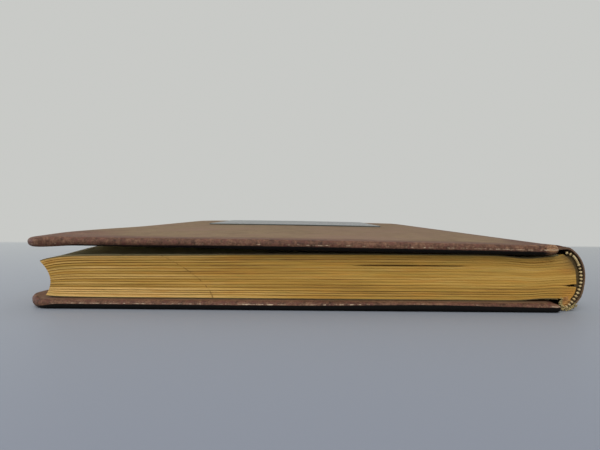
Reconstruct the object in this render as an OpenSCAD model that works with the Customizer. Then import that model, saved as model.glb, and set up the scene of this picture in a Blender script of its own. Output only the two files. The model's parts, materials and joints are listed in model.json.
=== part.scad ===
// Case-bound photo album lying on its lower cover
// X runs from the fore-edge to the spine, Y from the near end to the far end, Z up from the table

/* [Covers] */
// Height of a cover, from its near end to its far end
cover_h = 280; // [180:1:400]
// Width of a cover, from its fore-edge to its joint
cover_w = 206; // [140:1:320]
// Thickness of a cover with its leather
cover_t = 3.6; // [2.8:0.1:5]
// Rounding of the flat of a cover at its two outer corners
corner_in = 7.2; // [1:0.2:12]
// Rounding of the flat of a cover at the two corners beside the joint
joint_corner_in = 1.2; // [0.6:0.2:4]
// How far the upper cover stands open at rest, in degrees
rest_open = 0.65; // [0:0.05:3]
// How far the upper cover has crept towards the fore-edge, past the lower one
creep = 1.5; // [0:0.1:3]

/* [Leather] */
// Thickness of the leather on the covers
leather_t = 0.8; // [0.5:0.1:1.2]
// Thickness of the leather on the spine, pared thin
spine_t = 0.5; // [0.3:0.1:1]
// Leather outside the edge of a board
edge_t = 0.9; // [0.8:0.1:1.4]
// Thickness of the leather turned in over a board, pared thin
turn_in_t = 0.4; // [0.3:0.1:0.6]
// Width of the leather turned in on the inner face of a board
turn_in_w = 14; // [8:1:25]
// How far the spine leather is worn back at its lower near end
worn_back = 3; // [0.5:0.5:6]

/* [Page block] */
// Thickness of the leaves, pressed together
block_t = 17.2; // [10:0.2:40]
// Bundles of leaves that show as lines on the edges
bundles = 16; // [6:1:24]
// Width of the line between two bundles
line_w = 0.16; // [0.1:0.02:0.3]
// Depth of the line between two bundles
line_depth = 0.3; // [0.1:0.05:0.6]
// How far the covers reach past the leaves at the fore-edge
fore_square = 6.8; // [2:0.2:10]
// How far the covers reach past the leaves at each end
end_square = 3.8; // [2:0.2:8]
// Depth of the hollow in the fore-edge
fore_hollow = 2.8; // [0:0.2:6]
// How far the fore-edge leans out at the top
fore_lean = 2.2; // [0:0.2:5]
// How far the top leaves droop at the fore-edge
fore_droop = 3.2; // [0:0.2:4]
// How far the back swells past the leaves at each shoulder
shoulder = 0.8; // [0.3:0.1:1.2]
// How far the rounded back stands out from the shoulders
back_round = 5; // [3:0.5:8]
// Dip of the leaves where they are nipped beside the joint
joint_dip = 1; // [0:0.1:1.5]

/* [Papers and linings] */
// Thickness of the endpapers, which are the pastedowns and the flyleaves
paper_t = 0.3; // [0.2:0.05:0.35]
// Thickness of the cloth glued over the back
mull_t = 0.4; // [0.2:0.05:0.6]
// Thickness of the card inlay behind the spine leather
inlay_t = 0.5; // [0.3:0.05:1]
// Hollow between the cloth and the inlay, at the middle of the back
hollow_gap = 1.4; // [1:0.05:1.8]
// Radius of the outside of the spine
spine_r = 15; // [14:0.1:18]

/* [Headbands] */
// Diameter of one bead of a headband
bead_d = 1.1; // [0.8:0.05:1.3]
// Diameter of the cord inside the beads
core_d = 0.84; // [0.6:0.02:1]
// Distance from bead to bead along the cord
bead_pitch = 1.36; // [0.9:0.02:1.5]
// Width of the tape that holds a headband on the back
band_w = 8; // [4:0.5:15]

/* [Cover panel] */
// Width of the plain panel on the upper cover
panel_w = 132; // [60:1:180]
// Height of the panel
panel_h = 108; // [30:1:160]
// Distance from the panel to the far end of the cover
panel_margin = 15; // [6:1:60]
// Thickness of the panel
panel_t = 0.8; // [0.3:0.1:1.2]

/* [Clearances] */
// Gap at the joint between a cover and the spine leather
joint_clear = 0.3; // [0.2:0.05:0.6]
// Gap between a closed cover and the flyleaf beside it
seat_clear = 0.2; // [0.1:0.05:0.5]
// Room for the glue between two glued pieces
glue = 0.05; // [0.02:0.01:0.1]
// Step of the spine leather below the face of a cover
spine_drop = 0.4; // [0.2:0.1:1]
// Room between the lower joint and the shoulder of the back
shoulder_clear = 1.7; // [1.2:0.1:3]

/* [Hidden] */
$fn = 48;
over = 1;

leather_color = [0.35, 0.22, 0.15];
board_color = [0.62, 0.56, 0.45];
endpaper_color = [0.70, 0.64, 0.48];
page_color = [0.66, 0.53, 0.30];
cloth_color = [0.80, 0.76, 0.66];
inlay_color = [0.55, 0.44, 0.30];
band_color = [0.76, 0.66, 0.44];
panel_color = [0.42, 0.44, 0.45];

// Heights, from the table up, with the upper cover closed
board_t = cover_t - leather_t - turn_in_t;
block_z0 = cover_t + seat_clear + paper_t + glue;
block_z1 = block_z0 + block_t;
upper_z = block_z1 + glue + paper_t + seat_clear;
top_z = upper_z + cover_t;
mid_z = top_z / 2;

// Lengths along the spine
block_l = cover_h - 2 * end_square;
spine_l = block_l + 2 * bead_d;

// The rounded back: an arc from shoulder to shoulder
back_half = block_t / 2 + shoulder;
back_r = (pow(back_half, 2) + pow(back_round, 2)) / (2 * back_round);
shoulder_x = creep / 2 + shoulder_clear;
back_x = shoulder_x + back_round - back_r;

// The spine: a wider arc that stands clear of the back over the hollow
spine_in_r = spine_r - spine_t;
inlay_r = spine_in_r - glue - inlay_t;
spine_x = back_x + back_r + mull_t + hollow_gap - inlay_r;
spine_half = mid_z - spine_drop;
bead_path_r = spine_in_r - 2 * glue - bead_d / 2;

// The two joints, at the outer face of each cover
upper_joint_x = -creep / 2;
lower_joint_x = creep / 2;

// The middle of the whole album lies at the origin
center_x = (spine_x + spine_r + upper_joint_x - cover_w) / 2;

// The leaves: u runs from the fore-edge to the back, v from the lowest leaf to the top one
leaf_w = cover_w - fore_square + shoulder_x;
// Reach of the droop at the fore-edge, of the nip beside the joint and of the swelling at the back
droop_reach = 10;
nip_at = 14;
nip_reach = 8;
swell_reach = 2;
fore_stations = [0, 2, 5, 9, 15, 28, 60];
back_stations = [60, 24, 18, 14, 11, 8, 5.5, 3.5, 1.8, 0];
stations = [for (s = fore_stations) s / leaf_w, for (q = back_stations) 1 - q / leaf_w];
// Stations that a flyleaf follows, from the fore-edge to the nip
flyleaf_stations = [for (u = stations) if ((1 - u) * leaf_w > nip_at - 1) u];

function nip(u) = joint_dip * exp(-pow(((1 - u) * leaf_w - nip_at) / nip_reach, 2));
function swell(u) = shoulder * exp(-pow((1 - u) * leaf_w / swell_reach, 2));
function droop(u) = fore_droop * exp(-u * leaf_w / droop_reach);
function leaf_top(u) = block_z1 - droop(u) - nip(u) + swell(u);
function leaf_bottom(u) = block_z0 + droop(u) / 4 + nip(u) / 2 - swell(u);
function leaf_z(u, v) = leaf_bottom(u) + v * (leaf_top(u) - leaf_bottom(u));
function fore_x(v) = fore_square - cover_w + fore_hollow * (1 - pow(2 * v - 1, 2)) - fore_lean * (v - 0.5);
function back_edge_x(v) = back_x + sqrt(max(0, pow(back_r, 2) - pow(back_half * (2 * v - 1), 2)));
function leaf_x(u, v) = fore_x(v) + u * (back_edge_x(v) - fore_x(v));
function leaf_point(u, v) = [leaf_x(u, v), leaf_z(u, v)];

// Outline across the leaves between two heights v0 and v1, from station u0 on
function leaf_outline(us, v0, v1) = concat(
    [for (u = us) leaf_point(u, v0)],
    [for (i = [len(us) - 1:-1:0]) leaf_point(us[i], v1)]);

// Places every piece so that the middle of the album lies over the origin
module placed() {
    translate([-center_x, 0, 0]) children();
}

// Puts a cover, drawn with its outer face down and its joint at the origin, on the table
module at_lower_joint() {
    placed() translate([lower_joint_x, 0, 0]) children();
}

// Turns the same cover over on to the leaves and lifts it to its place at rest
module at_upper_joint() {
    placed() translate([upper_joint_x, 0, top_z]) rotate([0, rest_open, 0]) rotate([180, 0, 0]) children();
}

// Draws a profile in X and Z and gives it a length along Y
module along_spine(length) {
    placed() translate([0, length / 2, 0]) rotate([90, 0, 0]) linear_extrude(length) children();
}

// Half disc that rounds an edge of the given thickness, beside the origin
module edge_profile(t) {
    intersection() {
        translate([0, t / 2]) circle(t / 2);
        square([t, t]);
    }
}

// Slab with fully rounded edges: w by h by t, with its joint edge at x = 0
module rounded_slab(w, h, t, fore_in, joint_in) {
    r = t / 2;
    flat_w = w - t;
    flat_h = h - t;
    corners = [
        [-w + r + fore_in, -flat_h / 2 + fore_in, fore_in, 180],
        [-r - joint_in, -flat_h / 2 + joint_in, joint_in, 270],
        [-r - joint_in, flat_h / 2 - joint_in, joint_in, 0],
        [-w + r + fore_in, flat_h / 2 - fore_in, fore_in, 90]];
    linear_extrude(t) union() {
        translate([-w + r, -flat_h / 2 + fore_in]) square([flat_w - joint_in, flat_h - 2 * fore_in]);
        translate([-w + r + fore_in, -flat_h / 2]) square([flat_w - fore_in - joint_in, flat_h]);
        translate([-r - joint_in, -flat_h / 2 + joint_in]) square([joint_in, flat_h - 2 * joint_in]);
        for (c = corners) translate([c[0], c[1]]) circle(c[2]);
    }
    for (c = corners)
        translate([c[0], c[1], 0]) rotate([0, 0, c[3]])
            rotate_extrude(angle = 90) translate([c[2], 0]) edge_profile(t);
    translate([-w + r, flat_h / 2 - fore_in, 0]) rotate([90, 0, 0])
        linear_extrude(flat_h - 2 * fore_in) mirror([1, 0]) edge_profile(t);
    translate([-r, flat_h / 2 - joint_in, 0]) rotate([90, 0, 0])
        linear_extrude(flat_h - 2 * joint_in) edge_profile(t);
    for (side = [-1, 1])
        translate([side < 0 ? -r - joint_in : -w + r + fore_in, side * flat_h / 2, 0])
            rotate([90, 0, side * 90]) linear_extrude(flat_w - fore_in - joint_in) edge_profile(t);
}

// A board drawn in its cover's place, smaller all round by the given gap
module board_form(gap) {
    inset = edge_t + gap;
    translate([-joint_clear / 2 - inset, 0, leather_t + gap])
        rounded_slab(cover_w - joint_clear / 2 - 2 * inset, cover_h - 2 * inset, board_t - 2 * gap,
                     corner_in, joint_corner_in);
}

// Leather round a board: open on the inner face inside the turned-in border
module cover_leather() {
    difference() {
        translate([-joint_clear / 2, 0, 0])
            rounded_slab(cover_w - joint_clear / 2, cover_h, cover_t, corner_in, joint_corner_in);
        board_form(0);
        translate([-cover_w + turn_in_w, -cover_h / 2 + turn_in_w, cover_t - turn_in_t - glue])
            cube([cover_w - turn_in_w + over, cover_h - 2 * turn_in_w, turn_in_t + glue + over]);
    }
}

// Endpaper pasted on the board, inside the turned-in border
module pastedown() {
    paste_w = cover_w - turn_in_w - glue - joint_clear / 2 - cover_t / 2;
    translate([-cover_w + turn_in_w + glue, -cover_h / 2 + turn_in_w + glue, cover_t - turn_in_t])
        cube([paste_w, cover_h - 2 * turn_in_w - 2 * glue, paper_t]);
}

// Ring round the back between two radii, kept within a height above and below the middle
module back_ring(r0, r1, half) {
    translate([back_x, mid_z]) intersection() {
        difference() {
            circle(r1);
            circle(r0);
        }
        translate([0, -half]) square([r1 + over, 2 * half]);
    }
}

// Inside of the spine: an arc that flattens towards the covers
module spine_section(r, half) {
    intersection() {
        translate([spine_x, mid_z]) circle(r);
        translate([upper_joint_x - over, mid_z - half]) square([2 * r + over, 2 * half]);
    }
}

// One bundle of leaves, from its lower to its upper line
module bundle(i) {
    gap = i > 0 ? line_w / block_t / 2 : 0;
    gap_top = i < bundles - 1 ? line_w / block_t / 2 : 0;
    along_spine(block_l) polygon(leaf_outline(stations, i / bundles + gap, (i + 1) / bundles - gap_top));
}

// Beaded band at the far end: beads on a cord, held by a skirt to the tape on the back
module beaded_band() {
    half = back_half - bead_d / 2;
    reach = asin(min(1, (back_half + bead_d / 2) / bead_path_r));
    step = bead_pitch / bead_path_r * 180 / PI;
    beads = floor(reach / step);
    placed() translate([0, block_l / 2, 0]) {
        translate([0, glue, 0]) rotate([90, 0, 0])
            linear_extrude(band_w + glue) back_ring(back_r + glue, back_r + mull_t, half);
        translate([0, bead_d / 4, 0]) rotate([90, 0, 0]) linear_extrude(bead_d) intersection() {
            difference() {
                translate([spine_x, mid_z]) circle(bead_path_r);
                translate([back_x, mid_z]) circle(back_r + glue);
            }
            translate([back_x, mid_z - half]) square([2 * back_r, 2 * half]);
        }
        translate([spine_x, bead_d / 2 - 2 * glue, mid_z]) rotate([90, 0, 0]) {
            for (i = [-beads:beads - 1]) rotate([0, 0, (i + 0.5) * step])
                translate([bead_path_r * cos(step / 2), 0, 0]) rotate([90, 0, 0])
                    cylinder(d = core_d, h = 2 * bead_path_r * sin(step / 2), center = true);
            for (i = [-beads:beads]) rotate([0, 0, i * step]) translate([bead_path_r, 0, 0]) sphere(bead_d / 2);
        }
    }
}

module lower_leather() color(leather_color) at_lower_joint() cover_leather();

module lower_board() color(board_color) at_lower_joint() board_form(glue);

module lower_pastedown() color(endpaper_color) at_lower_joint() pastedown();

module upper_leather() color(leather_color) at_upper_joint() cover_leather();

module upper_board() color(board_color) at_upper_joint() board_form(glue);

module upper_pastedown() color(endpaper_color) at_upper_joint() pastedown();

// Bare panel glued on the upper cover, centred across it near the far end
module cover_panel() {
    color(panel_color) at_upper_joint()
        translate([-(cover_w + panel_w) / 2, -cover_h / 2 + panel_margin, -panel_t - glue])
            cube([panel_w, panel_h, panel_t]);
}

// The leaves as one solid: a core, with bundles that stand out at the ends and the fore-edge
module page_block() {
    core = [for (u = stations) max(u, line_depth / leaf_w)];
    steps = [for (i = [0:2 * bundles]) i / (2 * bundles)];
    color(page_color) {
        along_spine(block_l - 2 * line_depth) polygon(concat(
            [for (u = core) leaf_point(u, 0)],
            [for (v = steps) leaf_point(1, v)],
            [for (i = [len(core) - 1:-1:0]) leaf_point(core[i], 1)],
            [for (i = [2 * bundles - 1:-1:1]) leaf_point(core[0], steps[i])]));
        for (i = [0:bundles - 1]) bundle(i);
    }
}

// Sheet that lies on the leaves, offset from them by the given rise
module flyleaf(v, rise) {
    face = [for (u = flyleaf_stations) leaf_point(u, v) + [0, rise]];
    along_spine(block_l) polygon(concat(
        face, [for (i = [len(face) - 1:-1:0]) face[i] + [0, paper_t]]));
}

module lower_flyleaf() color(endpaper_color) flyleaf(0, -glue - paper_t);

module upper_flyleaf() color(endpaper_color) flyleaf(1, glue);

// Cloth glued over the back, between the two headbands
module mull() {
    color(cloth_color) along_spine(block_l - 2 * band_w - 2 * glue)
        back_ring(back_r + glue, back_r + mull_t, back_half - bead_d / 2);
}

module head_band() color(band_color) mirror([0, 1, 0]) beaded_band();

module tail_band() color(band_color) beaded_band();

// Card that stiffens the spine leather over the hollow
module spine_inlay() {
    color(inlay_color) along_spine(block_l - 4 * bead_d) difference() {
        spine_section(inlay_r + inlay_t, back_half);
        spine_section(inlay_r, back_half + over);
        translate([upper_joint_x - 2 * over, mid_z - back_half - over])
            square([shoulder_x - upper_joint_x + 2 * over, 2 * (back_half + over)]);
    }
}

// Ragged cut through the lower near end of the spine, with a rule for its notches
module worn_edge() {
    teeth = 10;
    length = spine_x + spine_r - lower_joint_x;
    ragged = [for (i = [0:teeth])
        [lower_joint_x + i * length / teeth,
         -spine_l / 2 + worn_back * (1 - i / teeth) * (0.75 + 0.25 * cos(i * 140))]];
    placed() linear_extrude(mid_z - spine_half / 2) polygon(concat(
        ragged, [[ragged[teeth][0], -spine_l / 2 - over], [ragged[0][0] - over, -spine_l / 2 - over],
                 [ragged[0][0] - over, ragged[0][1]]]));
}

// Leather over the rounded back, from joint to joint
module spine_leather() {
    color(leather_color) difference() {
        along_spine(spine_l) difference() {
            spine_section(spine_r, spine_half);
            spine_section(spine_in_r, spine_half - spine_t);
            translate([upper_joint_x - 2 * over, mid_z])
                square([2 * over + joint_clear / 2, spine_half + over]);
            translate([upper_joint_x - 2 * over, mid_z - spine_half - over])
                square([lower_joint_x - upper_joint_x + 2 * over + joint_clear / 2, spine_half + over]);
        }
        worn_edge();
    }
}

lower_leather();
lower_board();
lower_pastedown();
page_block();
lower_flyleaf();
upper_flyleaf();
mull();
head_band();
tail_band();
spine_inlay();
spine_leather();
upper_leather();
upper_board();
upper_pastedown();
cover_panel();
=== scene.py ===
import json
import math
import random

import bmesh
import bpy
from mathutils import Matrix, Vector, noise


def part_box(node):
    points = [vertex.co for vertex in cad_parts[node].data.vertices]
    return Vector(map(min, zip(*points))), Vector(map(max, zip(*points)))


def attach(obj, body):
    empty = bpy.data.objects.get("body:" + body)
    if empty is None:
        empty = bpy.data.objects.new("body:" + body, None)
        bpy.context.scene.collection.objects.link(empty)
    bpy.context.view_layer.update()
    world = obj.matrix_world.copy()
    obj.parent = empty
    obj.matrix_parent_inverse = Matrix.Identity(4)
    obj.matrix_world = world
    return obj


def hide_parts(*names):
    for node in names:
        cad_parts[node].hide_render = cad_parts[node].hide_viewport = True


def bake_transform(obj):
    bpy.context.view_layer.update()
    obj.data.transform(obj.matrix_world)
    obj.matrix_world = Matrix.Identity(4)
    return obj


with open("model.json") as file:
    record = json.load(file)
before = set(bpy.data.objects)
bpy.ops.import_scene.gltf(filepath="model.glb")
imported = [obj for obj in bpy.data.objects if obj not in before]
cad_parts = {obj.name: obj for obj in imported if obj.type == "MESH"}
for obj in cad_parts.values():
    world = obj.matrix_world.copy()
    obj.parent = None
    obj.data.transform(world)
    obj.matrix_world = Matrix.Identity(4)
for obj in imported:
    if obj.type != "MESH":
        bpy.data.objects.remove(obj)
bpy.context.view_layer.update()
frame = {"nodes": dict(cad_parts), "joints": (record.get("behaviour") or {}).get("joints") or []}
print("frame loaded,", len(frame["nodes"]), "nodes")

mm = 0.001
joints = {joint["name"]: joint for joint in frame["joints"]}
lowerJoint = Vector(joints["lower_hinge"]["pos_m"])
upperJoint = Vector(joints["upper_hinge"]["pos_m"])
restOpen = -math.radians(joints["upper_hinge"]["range_deg"][0])  # the upper cover stands this far open

# sizes of the covers, block, spine and panel, read from the frame
coverLow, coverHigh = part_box("lower_leather")
boardLow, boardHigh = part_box("lower_board")
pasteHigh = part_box("lower_pastedown")[1]
blockLow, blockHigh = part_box("page_block")
spineLow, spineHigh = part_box("spine_leather")
panelLow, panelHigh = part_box("cover_panel")
coverW = lowerJoint.x - coverLow.x
jointGap = lowerJoint.x - coverHigh.x
coverL = coverHigh.y - coverLow.y
coverT = coverHigh.z
midZ = upperJoint.z / 2
blockL = blockHigh.y - blockLow.y
blockEnd = blockL / 2


# shared curves

def smooth(t):
    t = min(max(t, 0.0), 1.0)
    return t * t * (3 - 2 * t)


def ease(value, start, reach):  # from 0 at the start to 1 a reach beyond it
    return smooth((value - start) / reach)


def fall(away, reach):  # from 1 at nothing to 0 at the reach
    return smooth(1 - away / reach)


def bell(value, middle, width):
    return math.exp(-((value - middle) / width) ** 2)


def fading(away, reach):
    return math.exp(-away / reach)


def drift(x, y, z):
    return noise.noise(Vector((x, y, z)))


# node helpers

def plug(tree, socket, value):
    if isinstance(value, bpy.types.NodeSocket):
        tree.links.new(value, socket)
    else:
        socket.default_value = value


def addNode(tree, kind, inputs=None, **settings):
    node = tree.nodes.new(kind)
    for key, value in settings.items():
        setattr(node, key, value)
    for key, value in (inputs or {}).items():
        plug(tree, node.inputs[key], value)
    return node


def newMaterial(name):
    material = bpy.data.materials.new(name)
    material.use_nodes = True
    return material, material.node_tree


def ramp(tree, factor, stops):
    node = addNode(tree, "ShaderNodeValToRGB", {"Fac": factor})
    elements = node.color_ramp.elements
    while len(elements) < len(stops):
        elements.new(0.5)
    for element, (place, value) in zip(elements, stops):
        element.position = place
        if isinstance(value, (int, float)):
            value = (value, value, value)
        element.color = (*value, 1)
    return node.outputs["Color"]


def mixColor(tree, factor, *colors):
    first, second = (c if isinstance(c, bpy.types.NodeSocket) else (*c, 1) for c in colors)
    return addNode(tree, "ShaderNodeMix", {0: factor, 6: first, 7: second}, data_type="RGBA").outputs[2]


def calc(tree, operation, first, second=0.0, clamp=False):
    node = addNode(tree, "ShaderNodeMath", {0: first, 1: second}, operation=operation, use_clamp=clamp)
    return node.outputs[0]


def weigh(tree, *parts):
    # values added up, each times its weight
    total = None
    for value, weight in parts:
        part = value if weight == 1 else calc(tree, "MULTIPLY", value, weight)
        total = part if total is None else calc(tree, "ADD", total, part)
    return total


def attribute(tree, name):
    return addNode(tree, "ShaderNodeAttribute", attribute_name=name).outputs["Fac"]


def mapped(tree, vector, scale, shift=(0, 0, 0)):
    node = addNode(tree, "ShaderNodeMapping", {"Vector": vector, "Scale": scale, "Location": shift})
    return node.outputs[0]


def objectPlace(tree, stretch=(1, 1, 1)):
    return mapped(tree, addNode(tree, "ShaderNodeTexCoord").outputs["Object"], stretch)


def partOf(tree, vector, axis):
    return addNode(tree, "ShaderNodeSeparateXYZ", {"Vector": vector}).outputs[axis]


def cloudy(tree, vector, scale, detail=4.0, rough=0.55):
    return addNode(tree, "ShaderNodeTexNoise", {
        "Vector": vector, "Scale": scale, "Detail": detail, "Roughness": rough}).outputs["Fac"]


def finishShader(tree, color, rough, height, strength, distance, gloss=0.5):
    bump = addNode(tree, "ShaderNodeBump", {"Height": height, "Strength": strength, "Distance": distance})
    sockets = tree.nodes["Principled BSDF"].inputs
    for key, value in (("Base Color", color), ("Roughness", rough), ("Specular IOR Level", gloss),
                       ("Normal", bump.outputs["Normal"])):
        plug(tree, sockets[key], value)


# finishes

leatherFinish = {
    "deep": (0.034, 0.014, 0.008),
    "middle": (0.100, 0.047, 0.027),
    "light": (0.195, 0.104, 0.062),
    "maroon": (0.105, 0.034, 0.027),
    "dustySheen": (0.202, 0.140, 0.073),  # olive of dust and painted sheen on the outer faces
    "dusky": (0.143, 0.092, 0.048),
    "rosy": (0.198, 0.119, 0.079),
    "rubbed": (0.48, 0.37, 0.25),
    "shaded": (0.0022, 0.0014, 0.0011),
    "tan": (0.34, 0.175, 0.075),
    "grain": 900.0,
    "wearGain": 0.42,
    "gloss": 0.2,
}


def makeLeather(name, finish):
    material, tree = newMaterial(name)
    place = objectPlace(tree)
    tone = weigh(tree, (cloudy(tree, place, 38, 5, 0.6), 0.3), (cloudy(tree, place, 620, 4, 0.6), 0.4),
                 (cloudy(tree, place, 1500, 2, 0.6), 0.3))
    base = ramp(tree, tone, [(0.39, finish["deep"]), (0.50, finish["middle"]), (0.61, finish["light"])])
    blush = ramp(tree, cloudy(tree, place, 480, 4, 0.65), [(0.48, 0.0), (0.60, 0.5)])
    base = mixColor(tree, blush, base, finish["maroon"])
    # dust and painted sheen lie where the attribute says, worked in and faded in clouds
    dustAndSheen = attribute(tree, "dustAndSheen")
    uneven = calc(tree, "SUBTRACT", cloudy(tree, place, 46, 6, 0.65), 0.5)
    laid = ramp(tree, weigh(tree, (dustAndSheen, 1), (uneven, 1.2)), [(0.15, 0.0), (0.9, 0.86)])
    worked = ramp(tree, cloudy(tree, place, 130, 7, 0.75), [(0.42, 0.0), (0.62, 1.0)])
    film = mixColor(tree, worked, finish["dustySheen"], finish["dusky"])
    faded = ramp(tree, cloudy(tree, place, 24, 4, 0.6), [(0.45, 0.0), (0.68, 0.75)])
    base = mixColor(tree, laid, base, mixColor(tree, faded, film, finish["rosy"]))
    # rubbed and bared flecks, which lie along the rims
    patchy = cloudy(tree, objectPlace(tree, (0.55, 0.55, 1)), 1100, 6, 0.7)
    flecks = calc(tree, "MULTIPLY", calc(tree, "SUBTRACT", patchy, 0.5), 1.5)
    worn = weigh(tree, (attribute(tree, "wear"), finish["wearGain"]), (flecks, 1))
    color = mixColor(tree, ramp(tree, worn, [(0.52, 0.0), (0.72, 0.9)]), base, finish["rubbed"])
    bared = weigh(tree, (attribute(tree, "scuff"), 0.5), (flecks, 1.3))
    color = mixColor(tree, ramp(tree, bared, [(0.30, 0.0), (0.75, 0.9)]), color, finish["tan"])
    # painted shade: unrubbed leather under the rims, where it faces down at rest, darkened nearly to black
    paintedShadeMask = weigh(tree, (attribute(tree, "shade"), 1), (flecks, 0.5))
    soiledAndShaded = ramp(tree, paintedShadeMask, [(0.25, 0.0), (0.65, 1.0)])
    color = mixColor(tree, soiledAndShaded, color, finish["shaded"])
    rough = weigh(tree, (ramp(tree, tone, [(0.35, 0.60), (0.65, 0.72)]), 1), (dustAndSheen, 0.08))
    rough = calc(tree, "MAXIMUM", rough, calc(tree, "MULTIPLY", soiledAndShaded, 0.95))
    pores = addNode(tree, "ShaderNodeTexVoronoi", {"Vector": place, "Scale": finish["grain"]})
    height = weigh(tree, (pores.outputs["Distance"], 0.7), (cloudy(tree, place, 2600, 3, 0.6), 0.5))
    finishShader(tree, color, rough, height, 0.35, 0.00025, finish["gloss"])
    return material


leafFinish = {
    "dark": (0.145, 0.064, 0.006),
    "middle": (0.455, 0.258, 0.038),
    "pale": (0.71, 0.46, 0.155),
    "warm": (0.47, 0.225, 0.030),
    "olive": (0.36, 0.245, 0.045),
    "stain": (0.44, 0.20, 0.025),
    "paintedShade": (0.060, 0.032, 0.008),
    # a slanting mark across the near end: distance from the fore-edge, height, both at its middle
    "markAt": (54.5 * mm, 10.1 * mm),
    "markSlope": 0.94,
    "markWidth": 0.45 * mm,
}


def makeLeafEdges(name, finish):
    material, tree = newMaterial(name)
    leafMap = addNode(tree, "ShaderNodeUVMap", uv_map="leafMap").outputs["UV"]

    def streaks(scale, rough, shift=(0, 0, 0)):
        return cloudy(tree, mapped(tree, leafMap, scale, shift), 1.0, 3, rough)

    fine = streaks((40, 2600, 1), 0.6)
    tone = weigh(tree, (fine, 0.35), (streaks((22, 620, 1), 0.5), 0.35), (attribute(tree, "tone"), 0.5))
    base = ramp(tree, tone, [(0.32, finish["dark"]), (0.58, finish["middle"]), (0.86, finish["pale"])])
    hue = streaks((60, 750, 1), 0.6, (3, 5, 0))
    base = mixColor(tree, ramp(tree, hue, [(0.52, 0.0), (0.70, 0.6)]), base, finish["warm"])
    base = mixColor(tree, ramp(tree, hue, [(0.30, 0.5), (0.46, 0.0)]), base, finish["olive"])
    place = objectPlace(tree)
    blots = ramp(tree, cloudy(tree, place, 30, 5, 0.6), [(0.58, 0.0), (0.80, 0.45)])
    stained = calc(tree, "ADD", blots, attribute(tree, "stain"), clamp=True)
    color = mixColor(tree, stained, base, finish["stain"])
    # painted shade on the leaf ends under the upper end of the headband
    color = mixColor(tree, attribute(tree, "paintedShade"), color, finish["paintedShade"])
    # the slanting mark shows at the near end alone
    along, rise = (calc(tree, "SUBTRACT", partOf(tree, leafMap, axis), middle)
                   for axis, middle in zip("XY", finish["markAt"]))
    offLine = calc(tree, "ABSOLUTE", weigh(tree, (along, finish["markSlope"]), (rise, 1)))
    onLine = ramp(tree, calc(tree, "DIVIDE", offLine, finish["markWidth"] * 3), [(0.0, 1.0), (0.33, 0.0)])
    atNear = calc(tree, "LESS_THAN", partOf(tree, place, "Y"), -blockEnd + 4 * mm)
    broken = ramp(tree, cloudy(tree, place, 900, 3), [(0.42, 0.0), (0.56, 0.85)])
    mark = calc(tree, "MULTIPLY", calc(tree, "MULTIPLY", onLine, atNear), broken)
    finishShader(tree, mixColor(tree, mark, color, finish["dark"]), 0.78, fine, 0.3, 0.0002)
    return material


paperFinish = {"sheet": (0.60, 0.54, 0.30), "aged": (0.46, 0.37, 0.18), "spot": (0.20, 0.12, 0.05),
               "edge": (0.10, 0.065, 0.02), "gloss": 0.2}


def makePaper(name, finish):
    material, tree = newMaterial(name)
    place = objectPlace(tree)
    clouds = ramp(tree, cloudy(tree, place, 16, 5, 0.6), [(0.40, 0.0), (0.72, 0.8)])
    base = mixColor(tree, clouds, finish["sheet"], finish["aged"])
    spots = addNode(tree, "ShaderNodeTexVoronoi", {"Vector": place, "Scale": 95.0}).outputs["Distance"]
    near = ramp(tree, spots, [(0.04, 1.0), (0.13, 0.0)])
    chosen = ramp(tree, cloudy(tree, place, 28, 2), [(0.55, 0.0), (0.65, 0.7)])
    color = mixColor(tree, calc(tree, "MULTIPLY", near, chosen), base, finish["spot"])
    # painted shade on the cut ends of the flyleaves
    color = mixColor(tree, attribute(tree, "paintedShade"), color, finish["edge"])
    fibre = cloudy(tree, objectPlace(tree, (1, 3, 1)), 900, 4, 0.6)
    finishShader(tree, color, 0.9, fibre, 0.2, 0.0001, finish["gloss"])
    return material


boardFinish = {"fibre": (0.36, 0.29, 0.19), "fleck": (0.20, 0.15, 0.09)}


def makeBoard(name, finish):
    material, tree = newMaterial(name)
    fibre = cloudy(tree, objectPlace(tree, (1, 1, 4)), 700, 5, 0.65)
    color = ramp(tree, fibre, [(0.35, finish["fleck"]), (0.62, finish["fibre"])])
    finishShader(tree, color, 0.9, fibre, 0.4, 0.0002)
    return material


clothFinish = {"thread": (0.60, 0.54, 0.42), "gap": (0.22, 0.17, 0.10), "count": 900.0}


def makeCloth(name, finish):
    material, tree = newMaterial(name)
    place = objectPlace(tree)
    turns = finish["count"] * 6.28
    warp, weft = (calc(tree, "SINE", calc(tree, "MULTIPLY", partOf(tree, place, axis), turns))
                  for axis in "YZ")
    weave = calc(tree, "MULTIPLY_ADD", calc(tree, "MAXIMUM", warp, weft), 0.5)
    color = ramp(tree, weave, [(0.05, finish["gap"]), (0.35, finish["thread"])])
    finishShader(tree, color, 0.9, weave, 0.5, 0.0002)
    return material


# the skirt, the tape and the cord sit in shade behind the beads: their near-black brown is painted shade
shadedSkirtFinish = {"cream": (0.090, 0.054, 0.012), "shade": (0.034, 0.020, 0.004),
               "soiledAndShaded": (0.052, 0.031, 0.007)}
lobeFinish = {"cream": (0.44, 0.22, 0.055), "shade": (0.12, 0.050, 0.010), "soiledAndShaded": (0.25, 0.11, 0.024)}
threadFinish = {"cream": (0.66, 0.52, 0.27), "shade": (0.26, 0.17, 0.06), "soiledAndShaded": (0.46, 0.33, 0.15)}
frayFinish = {"cream": (0.55, 0.43, 0.18), "shade": (0.20, 0.14, 0.05), "soiledAndShaded": (0.34, 0.26, 0.10)}


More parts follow.
